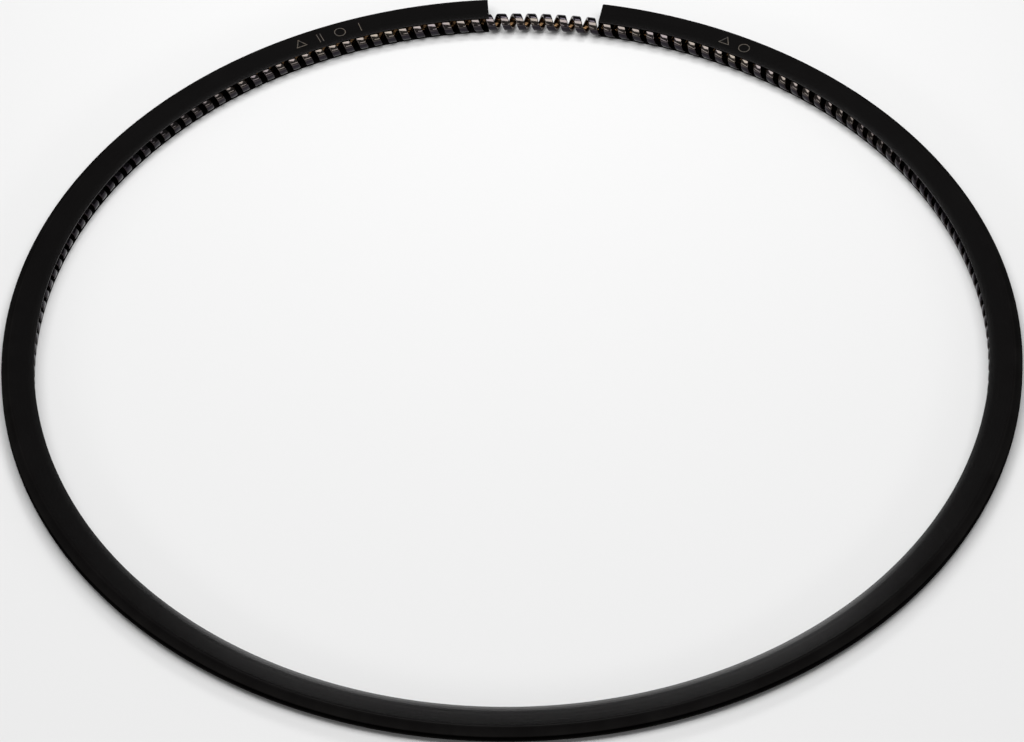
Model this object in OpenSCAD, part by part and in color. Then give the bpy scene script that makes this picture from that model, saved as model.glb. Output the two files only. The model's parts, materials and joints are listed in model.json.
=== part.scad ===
// Oil control piston ring with a coil expander, free and open.
// The ring lies flat with its axis on Z and its bottom face at z = 0. Its gap is centred on +Y.

/* [Ring body] */
// Outside diameter over the wiping lands
ring_od = 145; // [120:1:190]
// Radial wall, from the lands to the inner face
ring_wall = 4.7; // [4.3:0.1:5.5]
// Axial height between the two side faces
ring_height = 3; // [2.9:0.1:4]
// Straight distance across the open gap, at the outer edge
free_gap = 17.1; // [5:0.1:30]
// Chamfer on the two edges of the inner face
edge_break = 0.1; // [0.05:0.01:0.15]

/* [Running face] */
// Radial depth of the bevel above and below the lands
bevel_depth = 1; // [0.4:0.05:1.2]
// Axial height of each bevel
bevel_height = 0.95; // [0.5:0.05:1]
// Axial width of each wiping land
land_width = 0.2; // [0.1:0.05:0.25]
// Radial depth of the oil channel between the lands
channel_depth = 0.8; // [0.4:0.05:1.2]
// How far each flank of the channel leans in towards its floor
channel_lean = 0.07; // [0.03:0.01:0.1]

/* [Drain slots] */
// Number of slots milled through the floor of the channel
slot_count = 20; // [8:1:24]
// Axial height of a slot, which is the thickness of the milling cutter
slot_height = 0.4; // [0.25:0.05:0.45]
// Diameter of the milling cutter
cutter_d = 30; // [16:1:40]
// How far the cutter runs on past the floor of the spring's seat
slot_runout = 0.75; // [0.4:0.05:1]

/* [Coil expander] */
// Outside diameter of the coil
coil_od = 2.5; // [1.8:0.05:2.6]
// Distance along the coil from turn to turn
coil_pitch = 2.16; // [2.05:0.01:4]
// Width of the flat wire, along the coil
strip_width = 1.2; // [0.6:0.05:1.6]
// Thickness of the flat wire
strip_thickness = 0.5; // [0.25:0.05:0.6]
// How far the coil's centre line lies outside the ring's inner face
seat_depth = 1.1; // [0.8:0.05:1.3]
// How far the coil lies away from the gap, at the back of its seat
coil_shift = 0.6; // [0:0.05:0.8]
// Room between the coil and its seat in the ring
seat_clearance = 0.05; // [0.03:0.01:0.1]
// Space between the two ends of the strip, where the coil closes
butt_gap = 0.3; // [0.1:0.05:0.6]

/* [Joint wire] */
// Length of the wire that holds the ends of the coil in line
wire_length = 30; // [12:1:60]
// Room between the wire and the inside of the coil
wire_clearance = 0.06; // [0.03:0.01:0.15]

/* [Hidden] */
$fn = 128;

// Flat sides that make up one turn of the coil
coil_sides = 7;
// Directions from the ring's axis: the gap faces +Y and the coil closes opposite it
gap_at = 90;
joint_at = gap_at + 180;
// How far a cutting shape runs on past the face that it opens
overcut = 1;

outer_r = ring_od / 2;
inner_r = outer_r - ring_wall;
mid_z = ring_height / 2;
gap_angle = 2 * asin(free_gap / ring_od);
ring_angle = 360 - gap_angle;
ring_start = gap_at + gap_angle / 2;

seat_r = coil_od / 2 + seat_clearance;
coil_r = inner_r + seat_depth;
coil_place = coil_shift * [cos(joint_at), sin(joint_at), 0];
seat_at = coil_r + coil_shift;
slot_reach = seat_at + seat_r - slot_runout;
slot_step = ring_angle / slot_count;

coil_turns = round(2 * PI * coil_r / coil_pitch);
strip_steps = coil_turns * coil_sides;
strip_inner_r = coil_od / 2 - strip_thickness;
butt_angle = butt_gap / (coil_od / 2) * 180 / PI;
strip_half_angle = strip_width / 2 / coil_r * 180 / PI;

wire_r = strip_inner_r * cos(180 / coil_sides) - wire_clearance;
wire_angle = wire_length / coil_r * 180 / PI;

// Half of the ring's section above the middle plane, as [radius, height over mid_z]
section_half = [
    [inner_r, mid_z - edge_break],
    [inner_r + edge_break, mid_z],
    [outer_r - bevel_depth, mid_z],
    [outer_r, mid_z - bevel_height],
    [outer_r, mid_z - bevel_height - land_width],
    [outer_r - channel_depth, mid_z - bevel_height - land_width - channel_lean]
];

// The ring's turned section: bevelled lands outside, and the round seat of the coil inside
module ring_section() {
    lower_half = [for (i = [len(section_half) - 1 : -1 : 0]) [section_half[i].x, -section_half[i].y]];
    translate([0, mid_z])
        difference() {
            polygon(concat(section_half, lower_half));
            translate([seat_at, 0]) circle(r = seat_r);
            translate([inner_r - overcut, -seat_r]) square([seat_at - inner_r + overcut, 2 * seat_r]);
        }
}

// One disc cut, which enters from the channel and opens into the seat of the coil
module slot_cut() {
    translate([slot_reach + cutter_d / 2, 0, mid_z]) cylinder(d = cutter_d, h = slot_height, center = true);
}

// A corner of the strip: turn is the angle around the coil, shift the angle along the ring
function strip_corner(r, turn, shift) =
    let (
        radius = coil_r + r * cos(turn),
        along = joint_at + turn / coil_turns + shift
    )
    [radius * cos(along), radius * sin(along), mid_z - r * sin(turn)];

// The four corners of the strip after a share of the whole winding
function strip_corners(share) =
    let (turn = butt_angle / 2 + share * (360 * coil_turns - butt_angle))
    [
        strip_corner(coil_od / 2, turn, -strip_half_angle),
        strip_corner(coil_od / 2, turn, strip_half_angle),
        strip_corner(strip_inner_r, turn, strip_half_angle),
        strip_corner(strip_inner_r, turn, -strip_half_angle)
    ];

// The ring: cast, turned and slotted in one piece
module oil_ring() {
    color("#2a2829")
        difference() {
            rotate([0, 0, ring_start]) rotate_extrude(angle = ring_angle) ring_section();
            for (i = [0 : slot_count - 1])
                rotate([0, 0, ring_start + (i + 0.5) * slot_step]) slot_cut();
        }
}

// The spring: one flat strip wound all round the ring
module coil_expander() {
    points = [for (i = [0 : strip_steps]) each strip_corners(i / strip_steps)];
    sides = [
        for (i = [0 : strip_steps - 1], k = [0 : 3])
            let (a = 4 * i + k, b = 4 * i + (k + 1) % 4)
            each [[a, b, b + 4], [a, b + 4, a + 4]]
    ];
    last = 4 * strip_steps;
    ends = [[3, 2, 1, 0], [last, last + 1, last + 2, last + 3]];
    color("#6b5a50") translate(coil_place) polyhedron(points, concat(sides, ends));
}

// The wire inside the coil, across the place where its ends meet
module joint_wire() {
    color("#8f8c88")
        translate(coil_place)
            rotate([0, 0, joint_at - wire_angle / 2])
                rotate_extrude(angle = wire_angle)
                    translate([coil_r, mid_z]) circle(r = wire_r);
}

oil_ring();
coil_expander();
joint_wire();
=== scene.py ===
"""Dresses an open oil control ring and its coil expander, and sets a small studio round them."""

import json
import math

import bmesh
import bpy
from mathutils import Matrix, Vector


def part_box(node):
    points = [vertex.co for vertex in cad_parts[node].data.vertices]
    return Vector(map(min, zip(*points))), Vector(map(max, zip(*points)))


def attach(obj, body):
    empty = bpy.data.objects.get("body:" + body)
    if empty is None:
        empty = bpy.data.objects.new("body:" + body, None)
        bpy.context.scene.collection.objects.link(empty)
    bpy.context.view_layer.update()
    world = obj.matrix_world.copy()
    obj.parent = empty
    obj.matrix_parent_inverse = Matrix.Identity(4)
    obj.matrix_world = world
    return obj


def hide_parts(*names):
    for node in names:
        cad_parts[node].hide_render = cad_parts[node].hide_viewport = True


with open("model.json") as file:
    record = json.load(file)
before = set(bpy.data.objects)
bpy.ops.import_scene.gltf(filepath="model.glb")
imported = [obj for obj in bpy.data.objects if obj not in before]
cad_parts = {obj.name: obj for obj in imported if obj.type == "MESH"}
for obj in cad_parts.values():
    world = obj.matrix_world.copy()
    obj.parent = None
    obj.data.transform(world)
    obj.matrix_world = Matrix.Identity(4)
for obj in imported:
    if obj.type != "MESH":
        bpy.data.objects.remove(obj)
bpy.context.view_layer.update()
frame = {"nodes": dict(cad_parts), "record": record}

bl_info = {
    "name": "Oil Ring Finisher",
    "version": (1, 0, 0),
    "blender": (4, 5, 0),
    "location": "View3D > Sidebar > Oil Ring",
    "description": "Builds a blackened oil control ring, its coil expander and a studio for them",
    "category": "Object",
}

MM = 0.001
RING_LOW, RING_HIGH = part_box("oil_ring")
RUNNING_FACE = next(m for m in frame["record"]["mounts"] if m["name"] == "running_face")
# Directions from the ring's axis: the gap faces +Y, and the coil closes opposite it
GAP_AT = math.radians(90)
JOINT_AT = GAP_AT + math.pi


def linear(hex_colour):
    """The linear RGBA of an sRGB hex colour."""
    shares = [int(hex_colour[i:i + 2], 16) / 255 for i in (1, 3, 5)]
    return [s / 12.92 if s <= 0.04045 else ((s + 0.055) / 1.055) ** 2.4 for s in shares] + [1.0]


def length(name, description, millimetres):
    """A length that the user can change."""
    return bpy.props.FloatProperty(
        name=name, description=description, default=millimetres * MM, precision=5, unit="LENGTH")


def angle(name, description, degrees):
    """An angle that the user can change."""
    return bpy.props.FloatProperty(
        name=name, description=description, default=math.radians(degrees), subtype="ANGLE")


def colour(name, description, hex_colour):
    """A colour that the user can change."""
    return bpy.props.FloatVectorProperty(
        name=name, description=description, default=linear(hex_colour),
        size=4, min=0, max=1, subtype="COLOR")


class OilRingSizes(bpy.types.PropertyGroup):
    outer_diameter: length(
        "Outside diameter", "Over the two wiping lands", 2 * RUNNING_FACE["dims"]["r_mm"])
    height: length("Height", "Between the two side faces", (RING_HIGH.z - RING_LOW.z) / MM)
    wall: length("Wall", "From the lands to the inner face", 4.7)
    free_gap: length("Free gap", "Straight across the open gap, at the outer edge", 17.1)
    bevel_depth: length("Bevel depth", "Radial depth of the bevels beside the lands", 1.0)
    bevel_height: length("Bevel height", "Axial height of each bevel", 0.95)
    land_width: length("Land width", "Axial width of each wiping land", 0.2)
    channel_depth: length("Channel depth", "Radial depth of the channel between the lands", 0.8)
    channel_lean: length("Channel lean", "How far each flank of the channel leans in", 0.07)
    slot_count: bpy.props.IntProperty(
        name="Slots", description="Drain slots through the channel's floor", default=20, min=1)
    slot_height: length("Slot height", "Axial height of a drain slot", 0.4)
    cutter_diameter: length("Cutter diameter", "Disc that mills the slots", 30)
    slot_runout: length("Slot runout", "How far the cutter runs on past the seat's floor", 0.75)
    seat_clearance: length("Seat clearance", "Room between the coil and its seat", 0.05)
    crown_width: length("Crown width", "Part of each side face that falls to the inner edge", 1.0)
    crown_drop: length("Crown drop", "How far each side face falls away at the inner edge", 0.03)
    bevel_round: length("Bevel rounding", "Radius between the side faces and the bevels", 0.8)
    edge_round: length("Edge rounding", "Radius on the turned edges", 0.04)
    end_break: length("End break", "Deburring round the two butt ends", 0.04)


class OilRingCoil(bpy.types.PropertyGroup):
    diameter: length("Coil diameter", "Outside diameter of the coil", 2.5)
    turns: bpy.props.IntProperty(
        name="Turns", description="Turns in the whole coil", default=200, min=3)
    strip_width: length("Strip width", "Width of the flat wire, along the coil", 1.2)
    strip_thickness: length("Strip thickness", "Thickness of the flat wire", 0.5)
    strip_round: length("Strip rounding", "Radius on the rolled edges of the flat wire", 0.13)
    seat_depth: length("Seat depth", "From the inner face out to the coil's centre line", 1.1)
    shift: length("Shift", "How far the coil lies away from the gap, at the back of its seat", 0.6)
    butt_gap: length("Butt gap", "Space between the two ends of the strip", 0.3)


class OilRingMarks(bpy.types.PropertyGroup):
    size: length("Mark size", "Height of the marks across the top face", 1.7)
    stroke: length("Stroke", "Width of the etched lines", 0.13)
    spacing: length("Spacing", "From mark to mark along the ring", 3.1)
    left_at: angle("Left marks", "Direction of the long row of marks from the axis", 116.3)
    right_at: angle("Right marks", "Direction of the short row of marks from the axis", 66.2)


class OilRingColours(bpy.types.PropertyGroup):
    coat: colour("Phosphate", "Black of the ring's coat", "#0F0E0E")
    coat_pale: colour("Phosphate bloom", "Greyer patches of the coat", "#131212")
    coat_lapped: colour("Lapped phosphate", "Deeper black of the lapped side faces", "#050404")
    coat_rubbed: colour("Rubbed edge", "Coat worn thin along the edges", "#1A1918")
    spring_brown: colour("Spring brown", "Brown heat tint of the spring", "#69625A")
    spring_violet: colour("Spring violet", "Violet heat tint of the spring", "#645D5E")
    spring_straw: colour("Spring straw", "Straw tint on the inside of the turns", "#4A3826")
    # Painted shade: the spring is darkened to this colour under and outside its turns and towards
    # the ring's two sides
    spring_painted_shade: colour(
        "Spring black", "Deep oxide under and outside the turns, and at both sides", "#28252A")
    wire: colour("Wire", "Bright drawn steel of the joint wire", "#A09C96")
    etch: colour("Etching", "Iron bared by the etching laser", "#483F33")
    floor: colour("Floor", "White of the paper that the ring lies on", "#DEDEDE")
    lamp: colour("Lamp", "Light of the softbox, the card and the side lamps", "#FFFFFF")
    room: colour("Room", "Light of the room round the table", "#FFFFFF")


class OilRingStudio(bpy.types.PropertyGroup):
    azimuth: angle("Azimuth", "Direction of the camera round the ring's axis, from -Y", 4.76)
    elevation: angle("Elevation", "Height of the camera over the floor", 46.23)
    roll: angle("Roll", "Clockwise turn of the camera about its own axis", 1.1)
    distance: length("Distance", "From the camera to the middle of the ring", 1672)
    lens: bpy.props.FloatProperty(
        name="Lens", description="Focal length on a 36 mm sensor", default=413.6, unit="CAMERA")
    aim_drop: length("Aim drop", "How far below the ring's middle the camera aims", 0.61)
    lamp_height: length("Lamp height", "Softbox over the floor", 700)
    lamp_width: length("Lamp width", "Softbox from left to right, seen from the camera", 1000)
    lamp_depth: length("Lamp depth", "Softbox from front to back, seen from the camera", 480)
    lamp_front: length("Lamp front", "Softbox in front of the axis, seen from the camera", 75)
    lamp_power: bpy.props.FloatProperty(
        name="Lamp power", description="Radiant power of the softbox", default=5.5, unit="POWER")
    card_width: length("Card width", "Level side of the lit card that the near side mirrors", 92)
    card_depth: length("Card depth", "Other side of the small lit card", 50)
    card_side: length("Card side", "How far the card hangs to the right, seen from the camera", 3)
    card_back: length(
        "Card back", "How far the card hangs behind the axis, seen from the camera", 137)
    card_height: length("Card height", "Middle of the card over the floor", 165)
    card_power: bpy.props.FloatProperty(
        name="Card power", description="Radiant power of the card", default=0.14, unit="POWER")
    side_turn: angle("Side lamp turn", "How far each side lamp stands round from the camera", 45)
    side_elevation: angle("Side lamp elevation", "Height of the side lamps over the floor", 18)
    side_distance: length("Side lamp distance", "From the side lamps to the ring's middle", 900)
    side_width: length("Side lamp width", "Level side of each side lamp", 1000)
    side_height: length("Side lamp height", "Upright side of each side lamp", 130)
    side_power: bpy.props.FloatProperty(
        name="Side lamp power", description="Radiant power of each side lamp",
        default=1.2, unit="POWER")
    room_light: bpy.props.FloatProperty(
        name="Room light", description="Strength of the dim room round the table", default=0.14)


GROUPS = {
    "oil_ring_sizes": OilRingSizes,
    "oil_ring_coil": OilRingCoil,
    "oil_ring_marks": OilRingMarks,
    "oil_ring_colours": OilRingColours,
    "oil_ring_studio": OilRingStudio,
}


def new_material(name):
    """An empty procedural material: its node tree and its surface shader."""
    material = bpy.data.materials.new(name)
    material.use_nodes = True
    return material, material.node_tree, material.node_tree.nodes["Principled BSDF"]


def add_node(tree, kind, settings=None, links=None):
    """Adds a node. Settings go to its sockets or properties, and links come from other sockets."""
    node = tree.nodes.new(kind)
    for key, value in (settings or {}).items():
        if isinstance(key, int) or key in node.inputs:
            node.inputs[key].default_value = value
        else:
            setattr(node, key, value)
    for key, source in (links or {}).items():
        tree.links.new(source, node.inputs[key])
    return node


def axis_distance(tree, place):
    """A socket that gives each place's distance from the ring's axis."""
    flat = add_node(
        tree, "ShaderNodeVectorMath", {"operation": "MULTIPLY", 1: (1, 1, 0)}, {0: place})
    radius = add_node(
        tree, "ShaderNodeVectorMath", {"operation": "LENGTH"}, {0: flat.outputs["Vector"]})
    return radius.outputs["Value"]


# The colour inputs and output of a Mix node come after those for numbers and vectors
MIX_A, MIX_B, MIX_OUT = 6, 7, 2


def black_manganese_phosphate(colours):
    """Turned cast iron, blackened in a hot phosphate bath and oiled."""
    # A matt, close-grained black with greyer blooms, rubbed edges and softly gleaming lapped sides
    material, tree, shader = new_material("black_manganese_phosphate")
    place = add_node(tree, "ShaderNodeTexCoord").outputs["Object"]
    bloom = add_node(
        tree, "ShaderNodeTexNoise", {"Scale": 1 / (4 * MM), "Detail": 4.0}, {"Vector": place})
    # The crystals are some 0.02 mm across, and are drawn at 0.3 mm so that they show
    crystals = add_node(
        tree, "ShaderNodeTexNoise", {"Scale": 1 / (0.3 * MM), "Detail": 2.0}, {"Vector": place})
    # Lapping lines are some 0.03 mm apart, and are drawn at 0.25 mm so that they show
    lapping = add_node(
        tree, "ShaderNodeTexNoise",
        {"noise_dimensions": "1D", "Scale": 1 / (0.25 * MM), "Detail": 1.0},
        {"W": axis_distance(tree, place)})
    worn = add_node(tree, "ShaderNodeAttribute", {"attribute_name": "edge_wear"})
    rubbed = add_node(
        tree, "ShaderNodeMath", {"operation": "MULTIPLY"},
        {0: worn.outputs["Fac"], 1: bloom.outputs["Fac"]})

    patch = add_node(
        tree, "ShaderNodeMapRange", {"From Min": 0.4, "From Max": 0.65},
        {"Value": bloom.outputs["Fac"]})
    coat = add_node(
        tree, "ShaderNodeMix",
        {"data_type": "RGBA", MIX_A: colours.coat, MIX_B: colours.coat_pale},
        {"Factor": patch.outputs["Result"]})
    lapped = add_node(tree, "ShaderNodeAttribute", {"attribute_name": "lapped"})
    smooth = add_node(
        tree, "ShaderNodeMix", {"data_type": "RGBA", MIX_B: colours.coat_lapped},
        {"Factor": lapped.outputs["Fac"], MIX_A: coat.outputs[MIX_OUT]})
    skin = add_node(
        tree, "ShaderNodeMix", {"data_type": "RGBA", MIX_B: colours.coat_rubbed},
        {"Factor": rubbed.outputs["Value"], MIX_A: smooth.outputs[MIX_OUT]})
    sheen = add_node(
        tree, "ShaderNodeMapRange",
        {"From Min": 0.3, "From Max": 0.7, "To Min": 0.15, "To Max": 0.2},
        {"Value": crystals.outputs["Fac"]})
    gleam = add_node(
        tree, "ShaderNodeMapRange", {"To Min": 0.0, "To Max": 0.19},
        {"Value": lapped.outputs["Fac"]})
    relief = add_node(
        tree, "ShaderNodeMath", {"operation": "ADD"},
        {0: crystals.outputs["Fac"], 1: lapping.outputs["Fac"]})
    bump = add_node(
        tree, "ShaderNodeBump", {"Strength": 0.12, "Distance": 0.02 * MM},
        {"Height": relief.outputs["Value"]})
    shader.inputs["IOR"].default_value = 1.5
    tree.links.new(gleam.outputs["Result"], shader.inputs["Specular IOR Level"])
    tree.links.new(skin.outputs[MIX_OUT], shader.inputs["Base Color"])
    tree.links.new(sheen.outputs["Result"], shader.inputs["Roughness"])
    tree.links.new(bump.outputs["Normal"], shader.inputs["Normal"])
    return material


def tempered_spring_steel(colours):
    """Flat spring wire, rolled smooth and then tempered in air."""
    # A smooth dark oxide skin, brown to violet from turn to turn, that mirrors lamps and table;
    # painted shade darkens it under and outside the turns and towards the ring's two sides
    material, tree, shader = new_material("tempered_spring_steel")
    place = add_node(tree, "ShaderNodeTexCoord").outputs["Object"]
    heat = add_node(
        tree, "ShaderNodeTexNoise", {"Scale": 1 / (5 * MM), "Detail": 2.0}, {"Vector": place})
    tint = add_node(
        tree, "ShaderNodeMapRange", {"From Min": 0.35, "From Max": 0.65},
        {"Value": heat.outputs["Fac"]})
    oxide = add_node(
        tree, "ShaderNodeMix",
        {"data_type": "RGBA", MIX_A: colours.spring_brown, MIX_B: colours.spring_violet},
        {"Factor": tint.outputs["Result"]})
    inside = add_node(tree, "ShaderNodeAttribute", {"attribute_name": "inside"})
    # Painted shade: the oxide darkens to the spring's shade colour under and outside the turns and
    # towards the ring's sides
    covered = add_node(tree, "ShaderNodeAttribute", {"attribute_name": "covered"})
    outside = add_node(
        tree, "ShaderNodeMix", {"data_type": "RGBA", MIX_B: colours.spring_painted_shade},
        {"Factor": covered.outputs["Fac"], MIX_A: oxide.outputs[MIX_OUT]})
    skin = add_node(
        tree, "ShaderNodeMix", {"data_type": "RGBA", MIX_B: colours.spring_straw},
        {"Factor": inside.outputs["Fac"], MIX_A: outside.outputs[MIX_OUT]})
    along = add_node(tree, "ShaderNodeAttribute", {"attribute_name": "along"})
    across = add_node(tree, "ShaderNodeAttribute", {"attribute_name": "across"})
    # Rolling lines run along the strip: long streaks about 0.1 mm apart
    streaks = add_node(
        tree, "ShaderNodeCombineXYZ", {}, {"X": along.outputs["Fac"], "Y": across.outputs["Fac"]})
    stretched = add_node(
        tree, "ShaderNodeVectorMath",
        {"operation": "MULTIPLY", 1: (1 / (3 * MM), 1 / (0.1 * MM), 1)},
        {0: streaks.outputs["Vector"]})
    rolling = add_node(
        tree, "ShaderNodeTexNoise", {"Scale": 1.0, "Detail": 2.0},
        {"Vector": stretched.outputs["Vector"]})
    gloss = add_node(
        tree, "ShaderNodeMapRange",
        {"From Min": 0.3, "From Max": 0.7, "To Min": 0.11, "To Max": 0.15},
        {"Value": rolling.outputs["Fac"]})
    bump = add_node(
        tree, "ShaderNodeBump", {"Strength": 0.03, "Distance": 0.01 * MM},
        {"Height": rolling.outputs["Fac"]})
    shader.inputs["Metallic"].default_value = 1.0
    tree.links.new(skin.outputs[MIX_OUT], shader.inputs["Base Color"])
    tree.links.new(gloss.outputs["Result"], shader.inputs["Roughness"])
    tree.links.new(bump.outputs["Normal"], shader.inputs["Normal"])
    return material


def bright_drawn_steel(colours):
    """Round steel wire, drawn bright through a die."""
    # A pale metal with fine darker draw lines and a soft gleam
    material, tree, shader = new_material("bright_drawn_steel")
    place = add_node(tree, "ShaderNodeTexCoord").outputs["Object"]
    # The lines are drawn as bands of radius and height, which both stay the same along the wire
    radius = axis_distance(tree, place)
    height = add_node(tree, "ShaderNodeSeparateXYZ", {}, {"Vector": place})
    section = add_node(
        tree, "ShaderNodeCombineXYZ", {}, {"X": radius, "Y": height.outputs["Z"]})
    draw = add_node(
        tree, "ShaderNodeTexNoise", {"Scale": 1 / (0.08 * MM), "Detail": 2.0},
        {"Vector": section.outputs["Vector"]})
    skin = add_node(
        tree, "ShaderNodeMix",
        {"data_type": "RGBA", MIX_A: colours.wire, MIX_B: colours.spring_brown},
        {"Factor": draw.outputs["Fac"]})
    gloss = add_node(
        tree, "ShaderNodeMapRange", {"To Min": 0.22, "To Max": 0.4},
        {"Value": draw.outputs["Fac"]})
    shader.inputs["Metallic"].default_value = 1.0
    tree.links.new(skin.outputs[MIX_OUT], shader.inputs["Base Color"])
    tree.links.new(gloss.outputs["Result"], shader.inputs["Roughness"])
    return material


def laser_etched_iron(colours):
    """Iron bared by a marking laser, and browned by its heat."""
    # Dull brown-grey lines, broken up by the beam's single spots
    material, tree, shader = new_material("laser_etched_iron")
    place = add_node(tree, "ShaderNodeTexCoord").outputs["Object"]
    # The beam's spots are some 0.05 mm across, and are drawn at 0.3 mm so that they show
    spots = add_node(
        tree, "ShaderNodeTexNoise", {"Scale": 1 / (0.3 * MM), "Detail": 2.0}, {"Vector": place})
    depth = add_node(
        tree, "ShaderNodeMapRange", {"From Min": 0.35, "From Max": 0.6},
        {"Value": spots.outputs["Fac"]})
    skin = add_node(
        tree, "ShaderNodeMix",
        {"data_type": "RGBA", MIX_A: colours.coat_rubbed, MIX_B: colours.etch},
        {"Factor": depth.outputs["Result"]})
    shader.inputs["Roughness"].default_value = 0.6
    tree.links.new(skin.outputs[MIX_OUT], shader.inputs["Base Color"])
    return material


def white_card(colours):
    """Smooth coated card, as sheets of studio background are made."""
    # An even, dull white with the faintest cloudiness
    material, tree, shader = new_material("white_card")
    place = add_node(tree, "ShaderNodeTexCoord").outputs["Object"]
    cloud = add_node(
        tree, "ShaderNodeTexNoise", {"Scale": 1 / (30 * MM), "Detail": 3.0}, {"Vector": place})
    dull = add_node(
        tree, "ShaderNodeMapRange", {"To Min": 0.75, "To Max": 0.85},
        {"Value": cloud.outputs["Fac"]})
    shader.inputs["Base Color"].default_value = colours.floor
    shader.inputs["Specular IOR Level"].default_value = 0.2
    tree.links.new(dull.outputs["Result"], shader.inputs["Roughness"])
    return material


def arc(centre, radius, start, end, steps):
    """Points along an arc, both ends included."""
    turns = [start + (end - start) * i / steps for i in range(steps + 1)]
    x, y = centre
    return [Vector((x + radius * math.cos(t), y + radius * math.sin(t))) for t in turns]


def rounded(corners, steps=4):
    """A path through corners given as (x, y, radius), with an arc at each that has a radius."""
    points = []
    for i, (x, y, radius) in enumerate(corners):
        corner = Vector((x, y))
        if not radius:
            points.append(corner)
            continue
        back = (Vector(corners[i - 1][:2]) - corner).normalized()
        ahead = (Vector(corners[i + 1][:2]) - corner).normalized()
        half = back.angle(ahead) / 2
        middle = corner + (back + ahead).normalized() * (radius / math.sin(half))
        first = corner + back * (radius / math.tan(half)) - middle
        sweep = first.angle_signed(corner + ahead * (radius / math.tan(half)) - middle)
        start = math.atan2(first.y, first.x)
        # angle_signed counts clockwise turns as positive
        points += arc(middle, radius, start, start - sweep, steps)
    return points


def spread(start, end, step):
    """Even values from start up to, and without, end."""
    count = max(1, math.ceil(abs(end - start) / step))
    return [start + (end - start) * i / count for i in range(count)]


def ramp(value, start, end):
    """Share of the way from start to end, kept between 0 and 1."""
    return min(1, max(0, (value - start) / (end - start)))


def polar(radius, turn, height):
    """A point at a distance and direction from the ring's axis."""
    return Vector((radius * math.cos(turn), radius * math.sin(turn), height))


def note_points(mesh, **notes):
    """Stores a number for each point of a mesh, under each name given."""
    for name, values in notes.items():
        mesh.attributes.new(name, "FLOAT", "POINT").data.foreach_set("value", values)


def piece_from_mesh(name, mesh, material):
    """A piece of the object, given its material and hung under the root body."""
    mesh.materials.append(material)
    piece = bpy.data.objects.new(name, mesh)
    bpy.context.scene.collection.objects.link(piece)
    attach(piece, "root")
    return piece


class RingForm:
    """The ring's section and cuts, worked out from its sizes."""

    # Steps along the curves of the section, and the widest step round the ring
    SEAT_STEPS = 14
    CROWN_STEPS = 8
    MOUTH_STEPS = 4
    TURN_STEP = math.radians(0.75)

    def __init__(self, sizes, coil):
        self.half = sizes.height / 2
        self.outer_r = sizes.outer_diameter / 2
        self.inner_r = self.outer_r - sizes.wall
        self.floor_r = self.outer_r - sizes.channel_depth
        self.coil_r = self.inner_r + coil.seat_depth
        self.seat_at = self.coil_r + coil.shift
        self.seat_r = coil.diameter / 2 + sizes.seat_clearance
        self.slot_half = sizes.slot_height / 2
        if self.seat_r >= self.half:
            raise ValueError("the seat of the coil is higher than the ring")
        self.sizes = sizes
        self.gap_half = math.asin(sizes.free_gap / sizes.outer_diameter)

    def mouth_turn(self):
        """Angle on the seat at which a drain slot opens."""
        return math.asin(self.slot_half / self.seat_r)

    def upper_half(self):
        """The section's upper half, from a slot's edge in the seat to its edge in the channel."""
        s = self.sizes
        land_top = self.half - s.bevel_height
        land_low = land_top - s.land_width
        seat = arc((self.seat_at, 0), self.seat_r, self.mouth_turn(), math.pi / 2, self.SEAT_STEPS)
        # The crown is a flat curve, level at its outer end and steepest at the inner edge
        shares = [i / self.CROWN_STEPS for i in range(self.CROWN_STEPS + 1)]
        crown = [
            (self.inner_r + share * s.crown_width, self.half - s.crown_drop * (1 - share) ** 2, 0)
            for share in shares]
        return seat + rounded([
            (self.seat_at, self.seat_r, 0),
            (self.inner_r, self.seat_r, s.edge_round),
            *crown,
            (self.outer_r - s.bevel_depth, self.half, s.bevel_round),
            (self.outer_r, land_top, s.edge_round),
            (self.outer_r, land_low, s.edge_round),
            (self.floor_r, land_low - s.channel_lean, s.edge_round),
            (self.floor_r, self.slot_half, 0),
        ])[1:]

    def outline(self):
        """The closed section: upper half, lower half, and the seat between a slot's edges."""
        upper = self.upper_half()
        lower = [Vector((p.x, -p.y)) for p in reversed(upper)]
        turn = self.mouth_turn()
        mouth = arc((self.seat_at, 0), self.seat_r, -turn, turn, self.MOUTH_STEPS)
        return upper + lower + mouth[1:-1]

    def slot_turn(self, radius):
        """Half the angle that a milled slot spans at a radius."""
        cutter_r = self.sizes.cutter_diameter / 2
        centre_r = self.seat_at + self.seat_r - self.sizes.slot_runout + cutter_r
        return math.acos((centre_r ** 2 + radius ** 2 - cutter_r ** 2) / (2 * centre_r * radius))


def shrunk(outline, depth):
    """A closed outline moved inwards by a small depth."""
    count = len(outline)
    inner = []
    for i, point in enumerate(outline):
        along = (outline[(i + 1) % count] - outline[i - 1]).normalized()
        # The outline runs clockwise, so its inside is on the right
        inner.append(point + Vector((along.y, -along.x)) * depth)
    return inner


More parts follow.
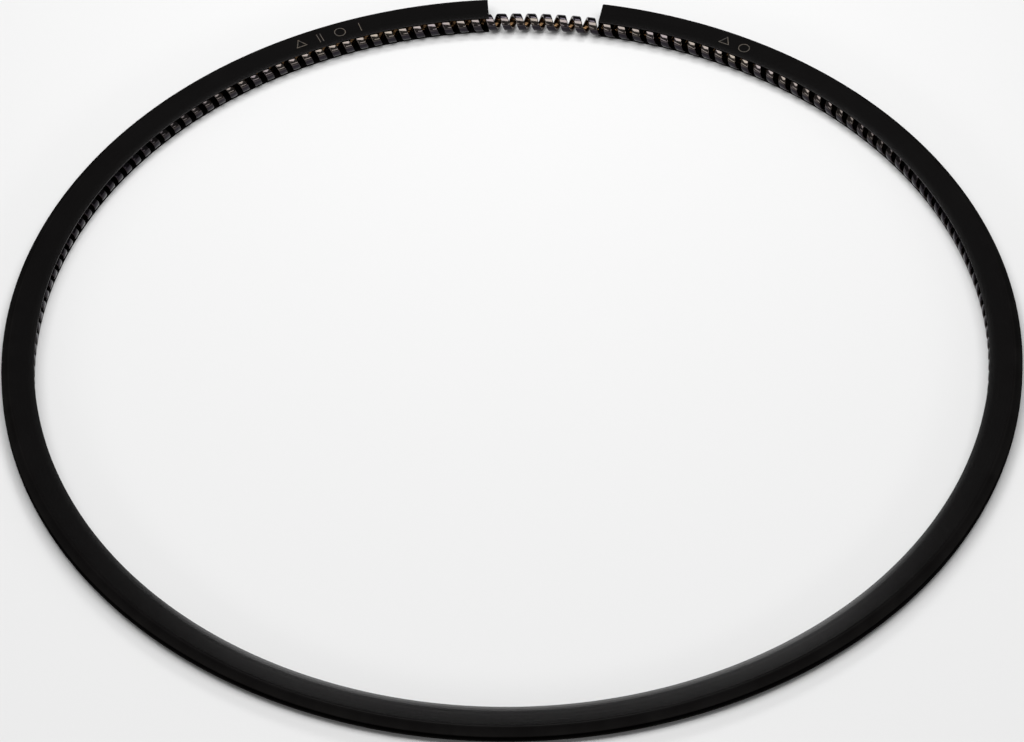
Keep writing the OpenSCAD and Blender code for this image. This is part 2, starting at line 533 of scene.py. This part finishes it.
def ring_mesh(form):
    """The turned ring, with its drain slots open through the channel's floor."""
    sizes = form.sizes
    outline = form.outline()
    count = len(outline)
    half_count = len(form.upper_half())
    # Places on the outline of a slot's upper and lower edges, in the seat and in the channel
    seat_up, floor_up, floor_low, seat_low = 0, half_count - 1, half_count, 2 * half_count - 1
    mouth = [*range(seat_low, count), seat_up]
    wide = form.slot_turn(form.floor_r)
    narrow = form.slot_turn(form.seat_at + form.seat_r * math.cos(form.mouth_turn()))

    start = GAP_AT + form.gap_half
    cell = 2 * (math.pi - form.gap_half) / sizes.slot_count
    end = start + sizes.slot_count * cell
    turns, slots = [], []
    for i in range(sizes.slot_count):
        low, middle = start + i * cell, start + (i + 0.5) * cell
        knots = [low, middle - wide, middle - narrow, middle + narrow, middle + wide, low + cell]
        places = []
        for a, b in zip(knots, knots[1:]):
            places.append(len(turns))
            turns += spread(a, b, form.TURN_STEP)
        slots.append(places[1:])
    turns.append(end)
    # The butt ends are deburred: the first and last sections stand back from the smaller end faces
    end_turn = sizes.end_break / form.inner_r
    turns[0] += end_turn
    turns[-1] -= end_turn

    bm = bmesh.new()
    rows = [[bm.verts.new(polar(p.x, t, form.half + p.y)) for p in outline] for t in turns]
    butt = shrunk(outline, sizes.end_break)
    caps = [[bm.verts.new(polar(p.x, t, form.half + p.y)) for p in butt] for t in (start, end)]

    open_floor, open_seat = set(), set()
    for wide_low, narrow_low, narrow_high, wide_high in slots:
        open_floor.update(range(wide_low, wide_high))
        open_seat.update(range(narrow_low, narrow_high))
    for j, (near, far) in enumerate(zip(rows, rows[1:])):
        for k in range(count):
            if (k == floor_up and j in open_floor) or (k >= seat_low and j in open_seat):
                continue
            m = (k + 1) % count
            bm.faces.new((near[k], near[m], far[m], far[k]))
    for wide_low, narrow_low, narrow_high, wide_high in slots:
        for floor, seat in ((floor_up, seat_up), (floor_low, seat_low)):
            outer_edge = [rows[j][floor] for j in range(wide_low, wide_high + 1)]
            inner_edge = [rows[j][seat] for j in range(narrow_high, narrow_low - 1, -1)]
            bm.faces.new(outer_edge + inner_edge)
        for outer, inner in ((wide_low, narrow_low), (wide_high, narrow_high)):
            outer_edge = [rows[outer][floor_up], rows[outer][floor_low]]
            bm.faces.new(outer_edge + [rows[inner][k] for k in mouth])
    for cap, row in ((caps[0], rows[0]), (caps[1], rows[-1])):
        for k in range(count):
            m = (k + 1) % count
            bm.faces.new((cap[k], cap[m], row[m], row[k]))
        bm.faces.new(cap)
    bmesh.ops.recalc_face_normals(bm, faces=bm.faces)
    mesh = bpy.data.meshes.new("oil_ring_body")
    bm.to_mesh(mesh)
    bm.free()
    return mesh


# Lapping left where the rounding to a bevel starts, and the drop below the side face that ends it
RIM_SHARE, RIM_DROP = 0.55, 0.04 * MM
# How far the rubbing reaches from an edge, and room for rounding errors
RUB_REACH, TINY = 0.12 * MM, 0.001 * MM
# Angles between faces from which their edge stays sharp, on the ring and on the strip
RING_SHARP, STRIP_SHARP = math.radians(40), math.radians(60)


def note_ring_wear(mesh, form):
    """Notes how far each point of the ring is lapped, and how far the edge beside it is rubbed."""
    sizes = form.sizes
    crown_end = form.inner_r + sizes.crown_width + TINY
    edges = ((form.inner_r, form.half), (form.outer_r - sizes.bevel_depth, form.half),
             (form.outer_r, form.half - sizes.bevel_height))
    lapped, rubbed = [], []
    for point in mesh.vertices:
        radius, height = point.co.xy.length, abs(point.co.z - form.half)
        below = form.half - height
        if radius < crown_end:
            lapped.append(float(below < sizes.crown_drop + TINY))
        else:
            lapped.append(RIM_SHARE * ramp(below, RIM_DROP, 0))
        away = min(math.hypot(radius - r, height - z) for r, z in edges)
        rubbed.append(ramp(away, RUB_REACH, 0))
    note_points(mesh, lapped=lapped, edge_wear=rubbed)


class BuildRing(bpy.types.Operator):
    """Turns the ring, mills its drain slots and blackens it"""

    bl_idname = "oil_ring.build_ring"
    bl_label = "Oil ring"

    def execute(self, context):
        scene = context.scene
        form = RingForm(scene.oil_ring_sizes, scene.oil_ring_coil)
        mesh = ring_mesh(form)
        note_ring_wear(mesh, form)
        mesh.shade_smooth()
        mesh.set_sharp_from_angle(angle=RING_SHARP)
        material = black_manganese_phosphate(scene.oil_ring_colours)
        ring = piece_from_mesh("oil_ring_body", mesh, material)
        normals = ring.modifiers.new("lapped_faces", "WEIGHTED_NORMAL")
        normals.keep_sharp = True
        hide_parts("oil_ring")
        return {"FINISHED"}


# Where the painted shade on the coil starts and where it is darkest: by how far the strip faces
# up, how far it faces out into its seat, and how far it lies towards the ring's two sides
FACING_UP, FACING_OUT, TOWARDS_SIDES = (0.48, 0.36), (-0.36, -0.24), (0.5, 0.85)


def painted_shade_share(turn, heading):
    """Share of painted shade, from 0 to 1, at an angle on the coil and a direction from the axis.
    """
    up, out, aside = -math.sin(turn), math.cos(turn), abs(math.cos(heading))
    return max(ramp(up, *FACING_UP), ramp(out, *FACING_OUT), ramp(aside, *TOWARDS_SIDES))


def coil_mesh(form, coil):
    """The flat strip, wound into a coil that closes on itself round the ring."""
    steps_a_turn, edge_steps = 28, 2
    half_w, half_t = coil.strip_width / 2, coil.strip_thickness / 2
    corners = [(half_w, half_t), (-half_w, half_t), (-half_w, -half_t), (half_w, -half_t)]
    quarter = math.pi / 2
    section = []
    for i, (x, y) in enumerate(corners):
        centre = (x - math.copysign(coil.strip_round, x), y - math.copysign(coil.strip_round, y))
        section += arc(centre, coil.strip_round, i * quarter, (i + 1) * quarter, edge_steps)
    middle_r = coil.diameter / 2 - half_t
    butt = coil.butt_gap / (coil.diameter / 2)
    whole = 2 * math.pi * coil.turns
    steps = coil.turns * steps_a_turn

    shift = polar(coil.shift, JOINT_AT, form.half)
    points, along, across, inside, covered = [], [], [], [], []
    for j in range(steps + 1):
        turn = butt / 2 + (whole - butt) * j / steps
        heading = JOINT_AT + turn / coil.turns
        # Share of painted shade for this step of the strip
        depth = painted_shade_share(turn, heading)
        for p in section:
            r = middle_r + p.y
            radius, height = form.coil_r + r * math.cos(turn), -r * math.sin(turn)
            points.append(shift + polar(radius, heading + p.x / form.coil_r, height))
            along.append(turn * middle_r)
            across.append(p.x)
            inside.append(ramp(p.y, half_t, -half_t))
            covered.append(depth)
    count = len(section)
    faces = []
    for j in range(steps):
        for k in range(count):
            a, b = j * count + k, j * count + (k + 1) % count
            faces.append((a, b, b + count, a + count))
    faces.append(list(range(count)))
    faces.append([steps * count + k for k in reversed(range(count))])
    mesh = bpy.data.meshes.new("coil_expander_strip")
    mesh.from_pydata(points, [], faces)
    note_points(mesh, along=along, across=across, inside=inside, covered=covered)
    return mesh


class BuildCoil(bpy.types.Operator):
    """Winds the coil expander from flat wire, all round the ring"""

    bl_idname = "oil_ring.build_coil"
    bl_label = "Coil expander"

    def execute(self, context):
        scene = context.scene
        form = RingForm(scene.oil_ring_sizes, scene.oil_ring_coil)
        mesh = coil_mesh(form, scene.oil_ring_coil)
        mesh.shade_smooth()
        mesh.set_sharp_from_angle(angle=STRIP_SHARP)
        material = tempered_spring_steel(scene.oil_ring_colours)
        coil = piece_from_mesh("coil_expander_strip", mesh, material)
        normals = coil.modifiers.new("rolled_faces", "WEIGHTED_NORMAL")
        normals.keep_sharp = True
        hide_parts("coil_expander")
        return {"FINISHED"}


class FinishWire(bpy.types.Operator):
    """Gives the joint wire inside the coil its drawn steel surface"""

    bl_idname = "oil_ring.finish_wire"
    bl_label = "Joint wire"

    def execute(self, context):
        material = bright_drawn_steel(context.scene.oil_ring_colours)
        for slot in frame["nodes"]["joint_wire"].material_slots:
            slot.material = material
        return {"FINISHED"}


# How far a burnt line stands over the face, and reaches under it
MARK_RISE = 0.006 * MM
# Distance of a triangle's corners from its middle, in mark sizes, and the sides of a drawn ring
TRIANGLE_SHARE, RING_SIDES = 0.6, 32


def etched_outline(bm, place, sides, radius, stroke):
    """A regular outline of thin lines."""
    inner = radius - stroke / math.cos(math.pi / sides)
    if inner <= 0:
        raise ValueError("the etched line is too wide for its mark")
    spokes = [math.pi / 2 + 2 * math.pi * i / sides for i in range(sides)]
    low, high = [[[bm.verts.new(place(r * math.cos(s), r * math.sin(s), z)) for s in spokes]
                  for r in (radius, inner)] for z in (-MARK_RISE, MARK_RISE)]
    for k in range(sides):
        m = (k + 1) % sides
        for lower, upper in zip(low, high):
            bm.faces.new((lower[k], lower[m], upper[m], upper[k]))
        for outer, hole in (low, high):
            bm.faces.new((outer[k], outer[m], hole[m], hole[k]))


def etched_bar(bm, place, at, width, height):
    """A short upright line, moved along its row."""
    corners = [(-1, -1), (1, -1), (1, 1), (-1, 1)]
    low, high = [[bm.verts.new(place(at + x * width / 2, y * height / 2, z)) for x, y in corners]
                 for z in (-MARK_RISE, MARK_RISE)]
    bm.faces.new(low)
    bm.faces.new(high)
    for k in range(len(corners)):
        m = (k + 1) % len(corners)
        bm.faces.new((low[k], low[m], high[m], high[k]))


def on_top_face(form, row_at, shift):
    """Places a mark's points on the top face, in a row that reads from inside the ring."""
    face_r = (form.inner_r + form.outer_r - form.sizes.bevel_depth) / 2
    return lambda x, y, z: polar(face_r + y, row_at - (shift + x) / face_r, 2 * form.half + z)


class EtchMarks(bpy.types.Operator):
    """Etches two rows of plain fitting marks into the top face, beside the gap"""

    bl_idname = "oil_ring.etch_marks"
    bl_label = "Fitting marks"

    def execute(self, context):
        scene = context.scene
        marks = scene.oil_ring_marks
        form = RingForm(scene.oil_ring_sizes, scene.oil_ring_coil)
        bm = bmesh.new()

        def triangle(place):
            etched_outline(bm, place, 3, TRIANGLE_SHARE * marks.size, marks.stroke)

        def ring(place):
            etched_outline(bm, place, RING_SIDES, marks.size / 2, marks.stroke)

        def bar(place):
            etched_bar(bm, place, 0, marks.stroke, marks.size)

        def two_bars(place):
            for side in (-1, 1):
                etched_bar(bm, place, 2 * side * marks.stroke, marks.stroke, marks.size)

        rows = (
            (marks.left_at, (triangle, two_bars, ring, bar)),
            (marks.right_at, (triangle, ring)),
        )
        for row_at, shapes in rows:
            for i, shape in enumerate(shapes):
                shift = (i - (len(shapes) - 1) / 2) * marks.spacing
                shape(on_top_face(form, row_at, shift))
        bmesh.ops.recalc_face_normals(bm, faces=bm.faces)
        mesh = bpy.data.meshes.new("fitting_marks")
        bm.to_mesh(mesh)
        bm.free()
        material = laser_etched_iron(scene.oil_ring_colours)
        piece_from_mesh("fitting_marks", mesh, material)
        return {"FINISHED"}


def area_lamp(name, place, width, depth, power, tint):
    """A rectangular lamp that faces the middle of the ring."""
    light = bpy.data.lights.new(name, "AREA")
    light.shape = "RECTANGLE"
    light.size, light.size_y = width, depth
    light.energy = power
    light.color = tint[:3]
    lamp = bpy.data.objects.new(name, light)
    facing = place.to_track_quat("Z", "Y").to_matrix().to_4x4()
    lamp.matrix_world = Matrix.Translation(place) @ facing
    bpy.context.scene.collection.objects.link(lamp)


# Side of the floor sheet in metres, the cells along it, and how far it lies under the ring
FLOOR_SIZE, FLOOR_CELLS, FLOOR_GAP = 8.0, 8, 0.02 * MM
# Width of the camera's sensor, in millimetres
SENSOR_WIDTH = 36


def lay_floor(colours):
    """A wide sheet of card, just under the ring."""
    bm = bmesh.new()
    bmesh.ops.create_grid(bm, x_segments=FLOOR_CELLS, y_segments=FLOOR_CELLS, size=FLOOR_SIZE / 2)
    bmesh.ops.translate(bm, verts=bm.verts, vec=(0, 0, -FLOOR_GAP))
    mesh = bpy.data.meshes.new("floor_card")
    bm.to_mesh(mesh)
    bm.free()
    mesh.materials.append(white_card(colours))
    card = bpy.data.objects.new("floor_card", mesh)
    bpy.context.scene.collection.objects.link(card)


def view_axes(studio):
    """The camera's directions before it rolls: right, up in its view and back from the ring."""
    a, e = studio.azimuth, studio.elevation
    right = Vector((math.cos(a), math.sin(a), 0))
    back = Vector((math.sin(a) * math.cos(e), -math.cos(a) * math.cos(e), math.sin(e)))
    return right, back.cross(right), back


def hang_lamps(studio, tint):
    """A softbox over the ring, a small lit card and two low lamps at the camera's sides."""
    above, right = Vector((0, 0, 1)), view_axes(studio)[0]
    behind = above.cross(right)
    softbox_at = above * studio.lamp_height - behind * studio.lamp_front
    area_lamp("softbox", softbox_at, studio.lamp_width, studio.lamp_depth, studio.lamp_power, tint)
    # The card hangs low behind the ring's axis, where only the near side mirrors it
    card_at = behind * studio.card_back + right * studio.card_side + above * studio.card_height
    area_lamp("card", card_at, studio.card_width, studio.card_depth, studio.card_power, tint)
    # The side lamps give the turns of the coil a second, thinner gleam
    for side in (-1, 1):
        level = right * side * math.sin(studio.side_turn) - behind * math.cos(studio.side_turn)
        raised = level * math.cos(studio.side_elevation) + above * math.sin(studio.side_elevation)
        area_lamp("side_lamp", raised * studio.side_distance,
                  studio.side_width, studio.side_height, studio.side_power, tint)


def place_camera(studio):
    """A long lens, aimed a little below the middle of the ring and rolled about its own axis."""
    up, back = view_axes(studio)[1:]
    eye = back * studio.distance
    sight = (eye + up * studio.aim_drop).normalized()
    level = up.cross(sight).normalized()
    upright = sight.cross(level)
    turned = level * math.cos(studio.roll) - upright * math.sin(studio.roll)
    raised = upright * math.cos(studio.roll) + level * math.sin(studio.roll)
    axes = Matrix((turned, raised, sight)).transposed()
    optics = bpy.data.cameras.new("camera")
    optics.sensor_fit = "HORIZONTAL"
    optics.sensor_width = SENSOR_WIDTH
    optics.lens = studio.lens
    camera = bpy.data.objects.new("camera", optics)
    camera.matrix_world = Matrix.Translation(eye) @ axes.to_4x4()
    bpy.context.scene.collection.objects.link(camera)
    bpy.context.scene.camera = camera


class SetStudio(bpy.types.Operator):
    """Lays the ring on white card, under a softbox, and sets up the camera"""

    bl_idname = "oil_ring.set_studio"
    bl_label = "Studio"

    def execute(self, context):
        scene = context.scene
        studio, colours = scene.oil_ring_studio, scene.oil_ring_colours
        lay_floor(colours)
        hang_lamps(studio, colours.lamp)
        place_camera(studio)
        world = bpy.data.worlds.new("dim_room")
        world.use_nodes = True
        room = world.node_tree.nodes["Background"]
        room.inputs["Color"].default_value = colours.room
        room.inputs["Strength"].default_value = studio.room_light
        scene.world = world
        scene.view_settings.view_transform = "Standard"
        return {"FINISHED"}


OPERATORS = (BuildRing, BuildCoil, FinishWire, EtchMarks, SetStudio)


class OilRingPanel(bpy.types.Panel):
    """Lists the sizes, the colours and the steps that build the ring"""

    bl_idname = "VIEW3D_PT_oil_ring"
    bl_label = "Oil Ring"
    bl_space_type = "VIEW_3D"
    bl_region_type = "UI"
    bl_category = "Oil Ring"

    def draw(self, context):
        for step in OPERATORS:
            self.layout.operator(step.bl_idname)
        for group_name, group in GROUPS.items():
            box = self.layout.box()
            for name in group.__annotations__:
                box.prop(getattr(context.scene, group_name), name)


CLASSES = (*GROUPS.values(), *OPERATORS, OilRingPanel)


def register():
    for cls in CLASSES:
        bpy.utils.register_class(cls)
    for name, group in GROUPS.items():
        setattr(bpy.types.Scene, name, bpy.props.PointerProperty(type=group))


def unregister():
    for name in GROUPS:
        delattr(bpy.types.Scene, name)
    for cls in reversed(CLASSES):
        bpy.utils.unregister_class(cls)


def main():
    register()
    bpy.ops.oil_ring.build_ring()
    bpy.ops.oil_ring.build_coil()
    bpy.ops.oil_ring.finish_wire()
    bpy.ops.oil_ring.etch_marks()
    bpy.ops.oil_ring.set_studio()


if __name__ == "__main__":
    main()
